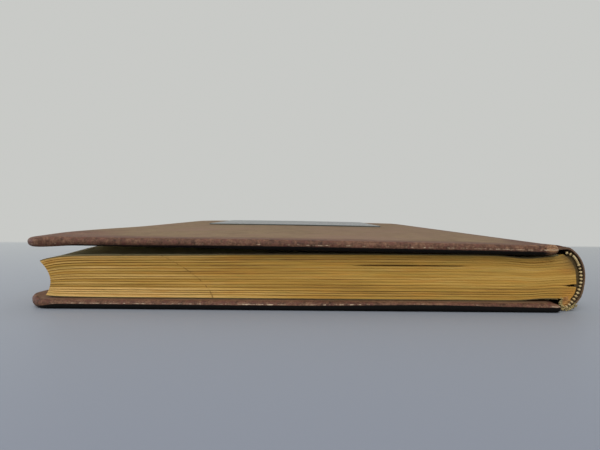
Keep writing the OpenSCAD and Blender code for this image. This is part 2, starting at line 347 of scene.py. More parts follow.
def makeThread(name, finish):
    material, tree = newMaterial(name)
    place = objectPlace(tree)
    base = ramp(tree, cloudy(tree, place, 420, 4, 0.6), [(0.36, finish["soiledAndShaded"]), (0.56, finish["cream"])])
    bands = addNode(tree, "ShaderNodeTexWave", {
        "Vector": place, "Scale": 1500.0, "Distortion": 3.0, "Detail": 2.0}, bands_direction="Y")
    wave = bands.outputs["Fac"]
    color = mixColor(tree, ramp(tree, wave, [(0.0, 0.45), (0.4, 0.0)]), base, finish["shade"])
    finishShader(tree, color, 0.8, wave, 0.4, 0.0002)
    return material


panelFinish = {"face": (0.088, 0.096, 0.099), "cloud": (0.125, 0.133, 0.133), "edge": (0.052, 0.060, 0.054)}


def makePanelGloss(name, finish):
    material, tree = newMaterial(name)
    cloud = cloudy(tree, objectPlace(tree), 55, 5, 0.6)
    face = mixColor(tree, ramp(tree, cloud, [(0.4, 0.0), (0.7, 1.0)]), finish["face"], finish["cloud"])
    color = mixColor(tree, attribute(tree, "rim"), face, finish["edge"])
    scuff = cloudy(tree, objectPlace(tree, (1, 6, 1)), 240, 4, 0.6)
    finishShader(tree, color, ramp(tree, scuff, [(0.35, 0.24), (0.75, 0.38)]), cloud, 0.1, 0.0004)
    return material


leather = makeLeather("wornLeather", leatherFinish)
leafEdges = makeLeafEdges("leafEdges", leafFinish)
paper = makePaper("endpaper", paperFinish)
board = makeBoard("bindersBoard", boardFinish)
cloth = makeCloth("backCloth", clothFinish)
thread = makeThread("bandThread", threadFinish)
shadedSkirtThread = makeThread("shadedSkirtThread", shadedSkirtFinish)
lobeThread = makeThread("lobeThread", lobeFinish)
frayThread = makeThread("frayThread", frayFinish)
panelGloss = makePanelGloss("panelGloss", panelFinish)
print("finishes made")


# mesh helpers

def addObject(name, data):
    made = bpy.data.objects.new(name, data)
    bpy.context.scene.collection.objects.link(made)
    return made


def addPiece(name, verts, faces, material, sharp, attributes, uvs=None):
    mesh = bpy.data.meshes.new(name)
    mesh.from_pydata([tuple(v) for v in verts], [], faces)
    for key, values in attributes.items():
        mesh.attributes.new(key, "FLOAT", "POINT").data.foreach_set("value", values)
    if uvs is not None:
        layer = mesh.uv_layers.new(name="leafMap")
        for loop in mesh.loops:
            layer.data[loop.index].uv = uvs[loop.vertex_index]
    build = bmesh.new()
    build.from_mesh(mesh)
    bmesh.ops.recalc_face_normals(build, faces=build.faces)
    build.to_mesh(mesh)
    build.free()
    mesh.materials.append(material)
    mesh.polygons.foreach_set("use_smooth", [True] * len(mesh.polygons))
    mesh.set_sharp_from_angle(angle=math.radians(sharp))
    return addObject(name, mesh)


def loftRings(rings):
    # a closed skin over the rings, capped at both ends
    count = len(rings[0])
    verts = [point for ring in rings for point in ring]
    faces = []
    for row in range(len(rings) - 1):
        for i in range(count):
            j = (i + 1) % count
            faces.append((row * count + i, row * count + j, (row + 1) * count + j, (row + 1) * count + i))
    faces.append(tuple(range(count)))
    faces.append(tuple(reversed(range(len(verts) - count, len(verts)))))
    return verts, faces


def roundedRing(x0, x1, y0, y1, radii, sides):
    # a rounded rectangle, with the same count of points whatever its size
    r0, r1 = radii  # at the low x side and at the high x side
    corners = [(x1 - r1, y0 + r1, r1, -90), (x1 - r1, y1 - r1, r1, 0),
               (x0 + r0, y1 - r0, r0, 90), (x0 + r0, y0 + r0, r0, 180)]
    points = []
    for index, (cx, cy, r, start) in enumerate(corners):
        for k in range(sides["corner"] + 1):
            angle = math.radians(start + 90 * k / sides["corner"])
            points.append((cx + r * math.cos(angle), cy + r * math.sin(angle)))
        nx, ny, nr, nStart = corners[(index + 1) % 4]
        first = points[-1]
        last = (nx + nr * math.cos(math.radians(nStart)), ny + nr * math.sin(math.radians(nStart)))
        steps = sides["long"] if index % 2 == 0 else sides["short"]
        for k in range(1, steps):
            points.append(tuple(a + (b - a) * (k / steps) for a, b in zip(first, last)))
    return points


def toLower(x, y, z):
    return Vector((lowerJoint.x + x, y, z))


def toUpper(x, y, z):
    # turned over on to the leaves and lifted to its place at rest
    ca, sa = math.cos(restOpen), math.sin(restOpen)
    return Vector((upperJoint.x + x * ca - z * sa, -y, upperJoint.z - x * sa - z * ca))


# leather of the covers: outer face, full round edges, turned-in border and the room for the board

coverSkin = {
    "foreCorner": 9.0 * mm,
    "jointCorner": 2.1 * mm,
    "turnIn": 14.0 * mm,
    "jointIn": 2.6 * mm,  # width of the turned-in border beside the joint
    "boardRoom": 0.05 * mm,
    "faceInsets": (102, 90, 75, 60, 46, 34, 24, 16, 10, 6, 3.4, 1.8),
    "borderShares": (0.0, 0.12, 0.3, 0.6, 0.9, 1.0),
    "insideInsets": (20, 60, 102),
    "rimSteps": 24,
    "faceWave": 0.22 * mm,
    "rimWave": 0.16 * mm,
    "cornerTaper": 2.6 * mm,  # how far the inner side draws back at the corners beside the joint
    "bow": 0.45 * mm,  # rise of the upper cover in the middle of its width
    "bowEnd": 0.82,  # share of the width where the bow ends
    "curl": 0.8 * mm,  # fall of its fore-edge, away from the near end
    "pinch": 0.4 * mm,  # how much thinner its near rim is pressed towards the fore-edge
    "swollen": 0.62 * mm,  # how much thicker its near corner is at the fore-edge
    "endRise": 0.42 * mm,  # rise of the leather at the near end of the upper joint
    "cornerUp": (0.7 * mm, 1.6 * mm),  # how far the lower cover's near fore corner turns up, below and above
    "cornerDown": 0.75 * mm,  # how far the upper cover's near fore corner turns down
    "sides": {"long": 150, "short": 150, "corner": 9},
    # where the rubbed line runs round the rim, how it falls by the fore-edge, how soft the painted shade
    # below it is, where the painted shade thins at the tip, how far the turned corner reaches, and the bare
    # patch beside the joint, with less painted shade
    "upper": {"line": 0.02, "lineFall": 0.45, "byFore": (0.55, 0.3), "soft": 0.5, "tip": (0.88, 0.05),
              "corner": (13 * mm, 34 * mm), "patch": 8.5 * mm, "patchRub": 0.75, "patchLessShade": 0.6},
    "lower": {"line": 0.3, "lineFall": 0.55, "byFore": (0.93, 0.05), "soft": 0.22, "tip": (0.955, 0.03),
              "corner": (8 * mm, 42 * mm), "patch": 5.5 * mm, "patchRub": 0.5, "patchLessShade": 0.15},
}


def coverBow(x, y):
    # height of the bent upper cover over its flat form: x from the joint, y along the album
    end = coverSkin["bowEnd"]
    s = min(max(-x / coverW, 0.0), 1.0)
    rise = coverSkin["bow"] * math.sin(math.pi * min(s / end, 1.0))
    return rise - coverSkin["curl"] * max(0.0, (s - end) / (1 - end)) ** 2 * ease(y, -100 * mm, 90 * mm)


def endLift(x, y):
    # the leather stands up a little round the near end of the upper joint
    across = fall(abs(x - upperJoint.x), (10 if x < upperJoint.x else 3.6) * mm)
    return coverSkin["endRise"] * fall(y - coverLow.y, 26 * mm) * across


def coverStations():
    # rings from the outer face to the room inside: inset at three sides and at the joint, height, kind, turn
    look = coverSkin
    r = coverT / 2
    roomLow = boardLow.z - look["boardRoom"]
    roomHigh = boardHigh.z + look["boardRoom"]
    roomIn = coverHigh.x - boardHigh.x
    roomR = (roomHigh - roomLow) / 2
    stations = [(inset * mm, inset * mm, 0.0, "face", 0.0) for inset in look["faceInsets"]]
    for k in range(1, look["rimSteps"]):
        turn = math.pi * k / look["rimSteps"]
        inset = r * (1 - math.sin(turn))
        stations.append((inset, inset, r * (1 - math.cos(turn)), "rim", turn))
    for share in look["borderShares"]:
        inset = r + (look["turnIn"] - r) * share
        stations.append((inset, r + (look["jointIn"] - r) * share, coverT, "border", math.pi))
    stations.append((look["turnIn"], look["jointIn"], roomHigh, "hem", math.pi))
    for k in range(7):
        turn = math.pi * k / 6
        inset = roomIn + roomR * (1 - math.sin(turn))
        stations.append((inset, inset, roomHigh - roomR * (1 - math.cos(turn)), "inside", 0.0))
    return stations + [(inset * mm, inset * mm, roomLow, "inside", 0.0) for inset in look["insideInsets"]]


def coverPoint(x, y, inset, z, kind, turn, isUpper, seed):
    # bent place of one point of the leather, and its wear, painted shade, dust with painted sheen, and scuff
    look = coverSkin
    side = look["upper" if isUpper else "lower"]
    r = coverT / 2
    fromNear = abs(y - (coverL / 2 if isUpper else -coverL / 2))
    fromEnd = coverL / 2 - abs(y)
    spot = Vector((x, y, z * 3)) + Vector((seed, seed, 0))
    slow = 0.5 + 0.5 * noise.noise(spot * 22)
    quick = 0.5 + 0.5 * noise.noise(spot * 170)
    dz, pull, rub, dark = 0.0, 0.0, 0.0, 0.0
    upness = math.cos(turn) if isUpper else -math.cos(turn)
    fade = fading(max(inset - r, 0), 2.0 * mm)
    s = -x / coverW
    # the painted shade on the lower rim is deepest and reaches highest here
    heavy = 0.0 if isUpper else bell(s, 0.25, 0.14)  # here the lower rim is darkest
    line = side["line"] - side["lineFall"] * ease(s, *side["byFore"]) + 0.35 * heavy
    onOuter = kind in ("face", "rim")
    if kind == "face":
        dz = look["faceWave"] * slow * ease(inset, r, 12 * mm)
        rub = 0.4 * fading(inset - r, 1.2 * mm)
        # painted shade on the lower cover's face beside the rim, which lies on the table
        dark = 0.0 if isUpper else fade
    if kind == "rim":
        pull = look["rimWave"] * (0.5 * slow + 0.5 * quick) * math.sin(turn)
        rub = (0.45 if upness > 0 else 0.15) + (1.0 - 0.6 * heavy) * bell(upness, line + 0.06, 0.11)
        # painted shade: the rim below the rubbed line is darkened, less so towards the fore-edge tip
        dark = smooth((line - upness) / side["soft"]) * (1 - 0.75 * ease(s, *side["tip"]))
    if kind == "border":
        rub = 0.5 * fading(inset - r, 1.5 * mm)
        # painted shade on the upper cover's turned-in border beside the rim, which faces down at rest
        dark = fade if isUpper else 0.0
    # the bow, the pressed and swollen near rim, and the turned corner
    if isUpper and onOuter:
        dz -= (coverBow(x, -y) + endLift(upperJoint.x + x, -y)) * (1 + math.cos(turn)) / 2
    if isUpper and kind in ("rim", "border") and turn > math.pi / 2:
        pressed = look["pinch"] * ease(s, 0.5, 0.25) * smooth((0.95 - s) / 0.08)
        swollen = look["swollen"] * ease(s, 0.90, 0.06)
        dz += (swollen - pressed) * fading(fromNear, 5 * mm) * -math.cos(turn) * fade
    if onOuter or kind == "border":
        byFore, byNear = side["corner"]
        byCorner = fall(x + coverW, byFore) * fall(fromNear, byNear)
        below, above = look["cornerUp"]
        turned = (look["cornerDown"] * (0.7 + 0.3 * math.cos(turn)) if isUpper
                  else below + (above - below) * (1 + upness) / 2)
        dz += byCorner * turned
    # the inner side draws back at the corners beside the joint
    if kind in ("border", "hem") or (kind == "rim" and turn > math.pi / 2):
        byJoint = ease(x, -jointGap - 7 * mm, 5 * mm)
        x -= look["cornerTaper"] * (1 - math.sin(turn)) * byJoint * ease(-fromEnd, -10 * mm, 8 * mm)
    # the corners are rubbed most, with a bare patch at the near one beside the joint
    foreCorner = fall(x + coverW, 12 * mm) * fall(fromEnd, 9 * mm)
    patch = ease(x, -jointGap - side["patch"], 5 * mm) * smooth((6 * mm - fromNear) / (4 * mm))
    if onOuter:
        rub += 0.3 * foreCorner + side["patchRub"] * patch
        # the bare patch has less painted shade
        dark *= 1 - side["patchLessShade"] * patch
    rub += (0.3 * noise.noise(spot * 60) + 0.25 * noise.noise(spot * 260)) * (rub > 0.02)
    redder = 0.6 * ease(x, -jointGap - 32 * mm, 24 * mm) * smooth((8 * mm - fromNear) / (5 * mm))
    bared = max(patch, redder) if isUpper else 0.55 * patch
    # dust and painted sheen stay off the rims, the near end and the near fore corner
    bare = (1 - ease(x, -coverW + 8 * mm, 30 * mm)) * fall(fromNear, 110 * mm)
    edgeReach = (2.5 + 22 * fall(fromNear, 52 * mm)) * mm
    inFace = ease(inset, 0.4 * mm, edgeReach) * (1 - bare)
    # painted sheen, with dust, also lies on the upper half of the rims away from the near end
    far = 0.8 * ease(fromNear, 15 * mm, 50 * mm) * smooth(upness / 0.6)
    dustAndSheen = {"face": max(inFace, far), "rim": far, "border": 0.0 if isUpper else 0.45}.get(kind, 0.0)
    away = (Vector((x, y)) - Vector((-coverW / 2, 0))).normalized() * pull
    return (x - away.x, y - away.y, z + dz), (max(rub, 0.0), dark, dustAndSheen, bared if onOuter else 0.0)


def makeCoverSkin(name, place, isUpper, seed):
    look = coverSkin
    rings, marks = [], []
    for inset, jointInset, z, kind, turn in coverStations():
        radii = [max(look["foreCorner"] - inset, 0.3 * mm), max(look["jointCorner"] - jointInset, 0.3 * mm)]
        outline = roundedRing(-coverW + inset, -jointGap - jointInset,
                              -coverL / 2 + inset, coverL / 2 - inset, radii, look["sides"])
        points = [coverPoint(x, y, inset, z, kind, turn, isUpper, seed) for x, y in outline]
        rings.append([place(*spot) for spot, mark in points])
        marks += [mark for spot, mark in points]
    verts, faces = loftRings(rings)
    attributes = dict(zip(("wear", "shade", "dustAndSheen", "scuff"), zip(*marks)))
    return addPiece(name, verts, faces, leather, 50, attributes)


lowerSkin = makeCoverSkin("lowerLeather", toLower, False, 3.1)
upperSkin = makeCoverSkin("upperLeather", toUpper, True, 7.7)
print("cover leather made")


# the leaves: u runs from the fore-edge to the back, v from the lowest leaf to the top one

leafShape = {
    "bundles": 16,
    "leavesPerBundle": 4,
    "foreHollow": 2.8 * mm,
    "foreLean": 2.2 * mm,
    "foreDroop": 2.2 * mm,
    "droopReach": 5.5 * mm,
    "shoulder": 0.8 * mm,
    "backRound": 5.0 * mm,
    "jointDip": 1.0 * mm,
    "footNip": 0.9 * mm,  # rise of the lowest leaves beside the joint
    "flare": 2.9 * mm,  # how far the lower leaves spread at the near end of the back
    "sink": 1.3 * mm,  # the leaves lie lower towards the fore-edge
    "lineHalf": 0.19 * mm,
    "lineDepth": 0.26 * mm,
    "leafDepth": 0.08 * mm,
    "trim": 0.05 * mm,  # least depth of the leaf ends behind the block's edges
    "palest": [1.0, 0.95, 0.86, 0.76],  # tones of the lowest bundles
    "seed": 41,
    # gaps that stand open between leaves: v, first u, last u, height, depth
    "gaps": [(0.79, 0.58, 0.80, 0.22 * mm, 0.7 * mm), (0.335, 0.982, 1.02, 0.9 * mm, 2.4 * mm),
             (0.885, 0.88, 0.985, 0.07 * mm, 0.2 * mm)],
    # stains on the near end: u, v, half width, half height, strength
    "stains": [(0.985, 0.655, 3.2 * mm, 1.6 * mm, 0.75), (1.0, 0.10, 4.0 * mm, 3.6 * mm, 0.85),
               (0.012, 0.93, 2.4 * mm, 0.8 * mm, 0.6), (0.35, 0.62, 9 * mm, 1.1 * mm, 0.35)],
}
backHalf = (blockHigh.z - blockLow.z) / 2
backR = (backHalf ** 2 + leafShape["backRound"] ** 2) / (2 * leafShape["backRound"])
backX = blockHigh.x - backR
leafZ0 = blockLow.z + leafShape["shoulder"]
leafZ1 = blockHigh.z - leafShape["shoulder"]
leafT = leafZ1 - leafZ0
foreX0 = blockLow.x + leafShape["foreLean"] / 2
leafW = blockHigh.x - leafShape["backRound"] - foreX0


def droop(u):
    return leafShape["foreDroop"] * fading(u * leafW, leafShape["droopReach"])


def leafTop(u):
    fromBack = (1 - u) * leafW
    dip = leafShape["jointDip"] * bell(fromBack, 14 * mm, 8 * mm)
    swell = leafShape["shoulder"] * bell(fromBack, 0, 2 * mm)
    return leafZ1 - droop(u) - dip + swell - leafShape["sink"] * (1 - smooth(u / 0.7))


def leafBottom(u):
    return leafZ0 + droop(u) / 4 + leafShape["footNip"] * bell((1 - u) * leafW, 6 * mm, 8 * mm)


def leafPoint(u, v, flare=0.0):
    v = min(max(v, 0.0), 1.0)
    fore = foreX0 + leafShape["foreHollow"] * (1 - (2 * v - 1) ** 2) - leafShape["foreLean"] * (v - 0.5)
    back = backX + math.sqrt(max(0.0, backR ** 2 - (backHalf * (2 * v - 1)) ** 2))
    spread = flare * max(0.0, 1 - v / 0.5) ** 1.3 * ease(u, 0.95, 0.05)
    low, high = leafBottom(u), leafTop(u)
    return fore + u * (back - fore) + spread, low + v * (high - low)


def easedSteps(count, ends):
    # steps from 0 to 1 that are closer together at both ends
    shares = [k / count for k in range(count + 1)]
    return [(1 - ends) * t + ends * (0.5 - 0.5 * math.cos(math.pi * t)) for t in shares]


def leafRows(draw):
    # rows up the block: v, depth, tone, index of the line between bundles or -1
    look = leafShape
    leavesIn = look["leavesPerBundle"]
    shares = [draw.uniform(0.8, 1.2) for k in range(look["bundles"])]
    tones = [draw.uniform(0.40, 0.66) for k in range(look["bundles"])]
    tones[0:4] = look["palest"]
    margin = look["lineHalf"] / leafT
    rows = [(0.0, 0.0, 0.6, -1)]
    start = 0.0
    for bundle, share in enumerate(shares):
        end = start + share / sum(shares)
        pale = draw.randrange(leavesIn)
        step = (end - start - 2 * margin) / leavesIn
        for leaf in range(leavesIn):
            tone = tones[bundle] + draw.uniform(-0.12, 0.12) + (0.22 if leaf == pale else 0.0)
            out = draw.uniform(0.0, 0.09) * mm
            low = start + margin + leaf * step
            rows.append((low + step * 0.12, out, tone, -1))
            rows.append((low + step * 0.88, out, tone, -1))
            if leaf < leavesIn - 1:
                # the set-in line between leaves has a darker tone, painted shade
                rows.append((low + step, out + look["leafDepth"], tone - 0.2, -1))
        if bundle < look["bundles"] - 1:
            depth = look["lineDepth"] * draw.uniform(0.7, 1.4)
            # the set-in line between bundles has a dark tone, painted shade
            dark = draw.uniform(-0.1, 0.22)
            rows.append((end - margin * 0.35, depth, dark, bundle))
            rows.append((end + margin * 0.35, depth, dark, bundle))
        start = end
    return rows + [(1.0, 0.0, 0.6, -1)]


def openGaps(rows):
    # each gap opens at the line that is nearest to it
    opened = []
    for gap in leafShape["gaps"]:
        near = min((row for row in rows if row[3] >= 0), key=lambda row: abs(row[0] - gap[0]))
        pair = [row[0] for row in rows if row[3] == near[3]]
        opened.append((sum(pair) / 2, *gap[1:]))
    return opened


def shiftByGaps(u, v, gaps, isLine):
    # gives the new v and the extra depth
    extra = 0.0
    for gapV, u0, u1, height, depth in gaps:
        along = (u - u0) / (u1 - u0)
        if 0 < along < 1:
            opening = math.sin(math.pi * min(along, 0.5 if u1 > 1 else 1)) ** 0.6
            far = (v - gapV) * leafT
            if abs(far) < 0.12 * mm and isLine:
                extra = max(extra, depth * opening)
            v += math.copysign(height / 2 * opening * fading(abs(far), 1.2 * mm), far) / leafT
    return v, extra


def stainAt(u, v):
    total = 0.0
    for stainU, stainV, halfW, halfH, strength in leafShape["stains"]:
        away = ((u - stainU) * leafW / halfW) ** 2 + ((v - stainV) * leafT / halfH) ** 2
        total += strength * math.exp(-away)
    return min(total, 1.0)


def paintedShadeAt(u, v):
    # painted shade under the upper end of the headband
    return 0.75 * ease(v, 0.45, 0.35) * fading((1 - u) * leafW, (2.0 + 2.0 * v * v) * mm)


def boldness(u, v):
    # the lines are bold at the fore-edge and faint in the upper leaves near the back
    bold = 0.68 + 0.66 * smooth((0.45 - u) / 0.35) - 0.15 * ease(u, 0.6, 0.3)
    return bold * (1 - 0.4 * ease(u, 0.6, 0.3) * ease(v, 0.3, 0.25))


def leafTone(u, v, tone, lineIndex, side):
    shown = 0.55 + (tone - 0.55) * boldness(u, v) - 0.08 * bell(u, 0.45, 0.2)
    shown -= 0.30 * ease(u, 0.30, 0.4) * smooth((0.27 - v) / 0.08) + 0.07 * ease(u, 0.15, 0.3)
    shown += 0.25 * ease(v, 0.86, 0.06) * smooth((0.42 - u) / 0.2)  # the top leaves catch light
    shown += 0.16 * smooth((0.26 - v) / 0.06) * smooth((0.34 - u) / 0.2)  # and so do the lowest
    if lineIndex >= 0:  # a line comes and goes along its length
        shown += 0.45 * max(0.0, drift(u * 7, lineIndex * 3.7, side * 2.0) + 0.1)
    return shown


def makeLeaves(name):
    look = leafShape
    rows = leafRows(random.Random(look["seed"]))
    gaps = openGaps(rows)
    columns = easedSteps(84, 0.55)
    stations = easedSteps(44, 0.35)
    top, last = len(rows) - 1, len(columns) - 1
    verts, uvs, marks, faces = [], [], [], []

    def put(x, y, z, uv, tone, stain=0.0, paintedShade=0.0):
        verts.append((x, y, z))
        uvs.append(uv)
        marks.append((tone, stain, paintedShade))
        return len(verts) - 1

    def putEnd(i, j, side):
        # one point of the near end (side -1) or the far end (side 1)
        u = columns[j]
        v, depth, tone, lineIndex = rows[i]
        newV, extra, stain, paintedShade = v, 0.0, 0.0, 0.0
        if side < 0 and 0 < v < 1:
            newV, extra = shiftByGaps(u, v, gaps, lineIndex >= 0)
            stain, paintedShade = stainAt(u, v), paintedShadeAt(u, v)
        x, z = leafPoint(u, newV, look["flare"] if side < 0 else 0.0)
        wobble = 0.05 * mm * drift(u * 14, v * 60, side * 5.0)
        inward = max(depth * min(boldness(u, v), 1.1) + extra + wobble + look["trim"], 0.0)
        if i in (0, top) or j in (0, last):
            inward = extra if j == last else 0.0
        # painted shade: the leaf ends darken where a gap stands open between them
        shown = leafTone(u, v, tone, lineIndex, side) - min(0.9, extra / (0.8 * mm))
        return put(x, side * (blockEnd - inward), z, (u * leafW, v * leafT), shown, stain, paintedShade)

    def putBetween(i, j, y):
        # one point of a ring round the block
        v, depth, tone, lineIndex = rows[i]
        x, z = leafPoint(columns[j], v)
        uv = (columns[j] * leafW, y)
        if j == 0 and 0 < i < top:
            x += max(depth + 0.06 * mm * drift(y * 40, v * 60, 2.0) + look["trim"], 0.0)
            uv = (y, v * leafT)
        return put(x, y, z, uv, tone if j == 0 else 0.55)

    grids = [[[putEnd(i, j, side) for j in range(last + 1)] for i in range(top + 1)] for side in (-1, 1)]
    loop = [(i, 0) for i in range(top, 0, -1)] + [(0, j) for j in range(last)]
    loop += [(i, last) for i in range(top)] + [(top, j) for j in range(last, 0, -1)]
    rings = [[grids[0][i][j] for i, j in loop]]
    for share in stations[1:-1]:
        rings.append([putBetween(i, j, (share - 0.5) * blockL) for i, j in loop])
    rings.append([grids[1][i][j] for i, j in loop])
    for previous, current in zip(rings, rings[1:]):
        for k in range(len(loop)):
            n = (k + 1) % len(loop)
            faces.append((previous[k], previous[n], current[n], current[k]))
    for grid in grids:
        for i in range(top):
            for j in range(last):
                faces.append((grid[i][j], grid[i][j + 1], grid[i + 1][j + 1], grid[i + 1][j]))
    return addPiece(name, verts, faces, leafEdges, 30, dict(zip(("tone", "stain", "paintedShade"), zip(*marks))), uvs)


leaves = makeLeaves("pageLeaves")
print("leaves made,", len(leaves.data.polygons), "faces")


# flyleaves lie on the block, with a slow cockle in the sheet

flyleafSheet = {
    "thick": 0.28 * mm,
    "rise": 0.05 * mm,
    "backEdge": 1.6 * mm,
    "cockle": 0.10 * mm,
    "loose": 1.7 * mm,  # how far the upper sheet stands off the leaves behind its near fore corner
}


def makeFlyleaf(name, top):
    look = flyleafSheet
    uLast = 1 - look["backEdge"] / leafW
    columns = [u * uLast for u in easedSteps(60, 0.6)]
    ys = [(share - 0.5) * (blockL - 0.2 * mm) for share in easedSteps(70, 0.8)]
    rings = []
    for y in ys:
        lowerSide = []
        along = ease(y, -blockEnd, 45 * mm) * smooth((blockEnd - y) / (120 * mm))
        for u in columns:
            x, z = leafPoint(u, 1.0 if top else 0.0)
            lift = look["cockle"] * (0.5 + 0.5 * drift(x * 40, y * 30, 4.0)) * min(1, 3 * (1 - u) + 0.1)
            loose = look["loose"] * along * fading(u * leafW, 24 * mm)
            low = z + look["rise"] + loose + lift if top else z - look["rise"] - look["thick"]
            lowerSide.append(Vector((x, y, low)))
        rings.append(lowerSide + [v + Vector((0, 0, look["thick"])) for v in lowerSide[::-1]])
    verts, faces = loftRings(rings)
    paintedShade = [0.85 * (abs(v.y) > abs(ys[0]) - 0.01 * mm) for v in verts]  # the cut ends are darkened as painted shade
    return addPiece(name, verts, faces, paper, 30, {"paintedShade": paintedShade})


upperFlyleaf = makeFlyleaf("upperFlyleafSheet", True)
lowerFlyleaf = makeFlyleaf("lowerFlyleafSheet", False)


# spine leather: a shell round the back from joint to joint, ragged at its lower near end

spineShell = {
    "radius": 15.0 * mm,
    "leather": 0.5 * mm,
    "upperHem": 0.6 * mm,  # how much thicker the leather is beside the upper joint
    "lowerHem": 0.3 * mm,
    "hemReach": 4.5 * mm,
    "square": 0.35 * mm,  # how far the round stands out half-way to the upper joint
    "lowerSquare": 0.95 * mm,
    "drop": 0.4 * mm,
    "fromJoint": 0.15 * mm,
    "step": 0.45 * mm,
    "wornBack": 1.3 * mm,
    "raggedTeeth": 0.7 * mm,
    "rubReach": 1.5 * mm,
    "seed": 5,
}
spineR = spineShell["radius"]
spineX = spineHigh.x - spineR


def spineRadius(angle):
    share = min(abs(angle) / math.radians(58), 1.0)
    if angle > 0:
        return spineR + spineShell["square"] * math.sin(math.pi * share)
    return spineR + spineShell["lowerSquare"] * math.sin(math.pi * share ** 1.8)


def spineProfile():
    # outer line from the upper joint round to the lower one, evenly stepped and eased at its turns
    half = midZ - spineShell["drop"]
    turnX = spineX + math.sqrt(spineR ** 2 - half ** 2)
    top = math.asin(half / spineR)
    upperX, lowerX = (joint.x + spineShell["fromJoint"] for joint in (upperJoint, lowerJoint))
    dense = []
    for k in range(40):
        dense.append(Vector((upperX + (turnX - upperJoint.x) * k / 40, midZ + half)))
    for k in range(201):
        angle = top - 2 * top * k / 200
        r = spineRadius(angle)
        dense.append(Vector((spineX + r * math.cos(angle), midZ + r * math.sin(angle))))
    for k in range(1, 41):
        dense.append(Vector((turnX + (lowerX - turnX) * k / 40, midZ - half)))
    points = [dense[0]]
    for point in dense:
        if (point - points[-1]).length >= spineShell["step"]:
            points.append(point)
    for sweep in range(5):
        middle = [(a + b * 2 + c) / 4 for a, b, c in zip(points, points[1:], points[2:])]
        points = [points[0]] + middle + [points[-1]]
    return points


def makeSpine(name):
    look = spineShell
    draw = random.Random(look["seed"])
    outer = spineProfile()
    count = len(outer)
    length = spineHigh.y - spineLow.y
    teeth = [draw.uniform(0, 1) for k in range(count)]
    # for each point of the line: normal, thickness, lowness, y of its ragged near end, rub at the joints
    strips = []
    for k in range(count):
        along = outer[min(k + 1, count - 1)] - outer[max(k - 1, 0)]
        toUpperEnd, toLowerEnd = k * look["step"], (count - 1 - k) * look["step"]
        thick = look["leather"] + look["upperHem"] * bell(toUpperEnd, 0, look["hemReach"])
        thick += look["lowerHem"] * bell(toLowerEnd, 0, look["hemReach"])
        low = min(max((midZ * 0.95 - outer[k].y) / (midZ * 0.9), 0), 1)
        ragged = look["wornBack"] * low ** 1.6 * (0.65 + 0.35 * teeth[k])
        ragged += look["raggedTeeth"] * low * teeth[k]
        atJoint = 0.4 * fading(min(toUpperEnd, toLowerEnd), look["rubReach"])
        strips.append((Vector((-along.y, along.x)).normalized(), thick, low, -length / 2 + ragged, atJoint))
    rings, wear, dustAndSheen = [], [], []
    for share in easedSteps(90, 0.5):
        ring = []
        for k, isInner in [(k, False) for k in range(count)] + [(k, True) for k in range(count - 1, -1, -1)]:
            normal, thick, low, yNear, atJoint = strips[k]
            y = yNear + (length / 2 - yNear) * share
            spot = Vector((outer[k].x, y, outer[k].y))
            inward = thick if isInner else 0.10 * mm * (0.5 + 0.5 * noise.noise(spot * 45))
            point = outer[k] - normal * inward
            ring.append(Vector((point.x, y, point.y)))
            # dust and painted sheen on the spine, more towards its foot
            dustAndSheen.append(0.6 + 0.35 * low)
            atEnds = fading(y - yNear, look["rubReach"]) + fading(length / 2 - y, look["rubReach"])
            foot = 0.45 * low * fading(y - yNear, 8 * mm)
            rub = 0.6 * atEnds + atJoint + foot + 0.3 * noise.noise(spot * 70)
            wear.append(min(max(rub, 0.0), 1.3))
        rings.append(ring)
    verts, faces = loftRings(rings)
    return addPiece(name, verts, faces, leather, 50, {"wear": wear, "dustAndSheen": dustAndSheen})


spineSkin = makeSpine("spineLeather")
print("spine made")


# leather that runs on across each joint, and the folds of the endpapers inside the joints

jointStrip = {"thick": 0.9 * mm, "reachCover": 3.0 * mm, "reachSpine": 3.4 * mm, "short": 0.15 * mm,
              "lowerThick": 0.54 * mm, "lowerReachCover": 1.9 * mm, "lowerReachSpine": 2.0 * mm,
              "lowerShort": 5 * mm}  # the lower strip stops short of the frayed end
endpaperFold = {"thick": 0.2 * mm, "short": 3.0 * mm, "under": 0.4 * mm, "over": 0.3 * mm, "bow": 0.15 * mm}


def sweepAlong(name, section, y0, y1, steps, material, wear=0.0):
    rings = []
    for k in range(steps + 1):
        y = y0 + (y1 - y0) * k / steps
        ring = []
        for x, z in section:
            shift = abs(0.05 * mm * drift(x * 80, y * 60, z * 80))
            ring.append(Vector((x, y, z - shift + endLift(x, y) if z > midZ else z + shift)))
        rings.append(ring)
    verts, faces = loftRings(rings)
    rub = [wear * (1 + fading(v.y - y0, 1.5 * mm) + fading(y1 - v.y, 1.5 * mm)) for v in verts]
    return addPiece(name, verts, faces, material, 50, {"wear": rub})


def bridgeLine(start, end, count, bow=0.0):
    shares = [k / count for k in range(count + 1)]
    return [(start[0] + (end[0] - start[0]) * t,
             start[1] + (end[1] - start[1]) * smooth(t) + bow * math.sin(math.pi * t)) for t in shares]


def stripSection(outerLine, thick):
    # outer line of the strip, then back along its inner side
    inner = []
    last = len(outerLine) - 1
    for k, (x, z) in enumerate(outerLine):
        taper = thick * min(1.0, 0.25 + 3.0 * k / last, 0.25 + 3.0 * (last - k) / last)
        inner.append((x, z - taper if z > midZ else z + taper))
    return outerLine + inner[::-1]


def makeFold(name, start, end, bow):
    line = bridgeLine(start, end, 12, bow)
    section = line + [(x, z + endpaperFold["thick"]) for x, z in line[::-1]]
    stop = blockEnd - endpaperFold["short"]
    return sweepAlong(name, section, -stop, stop, 80, paper)


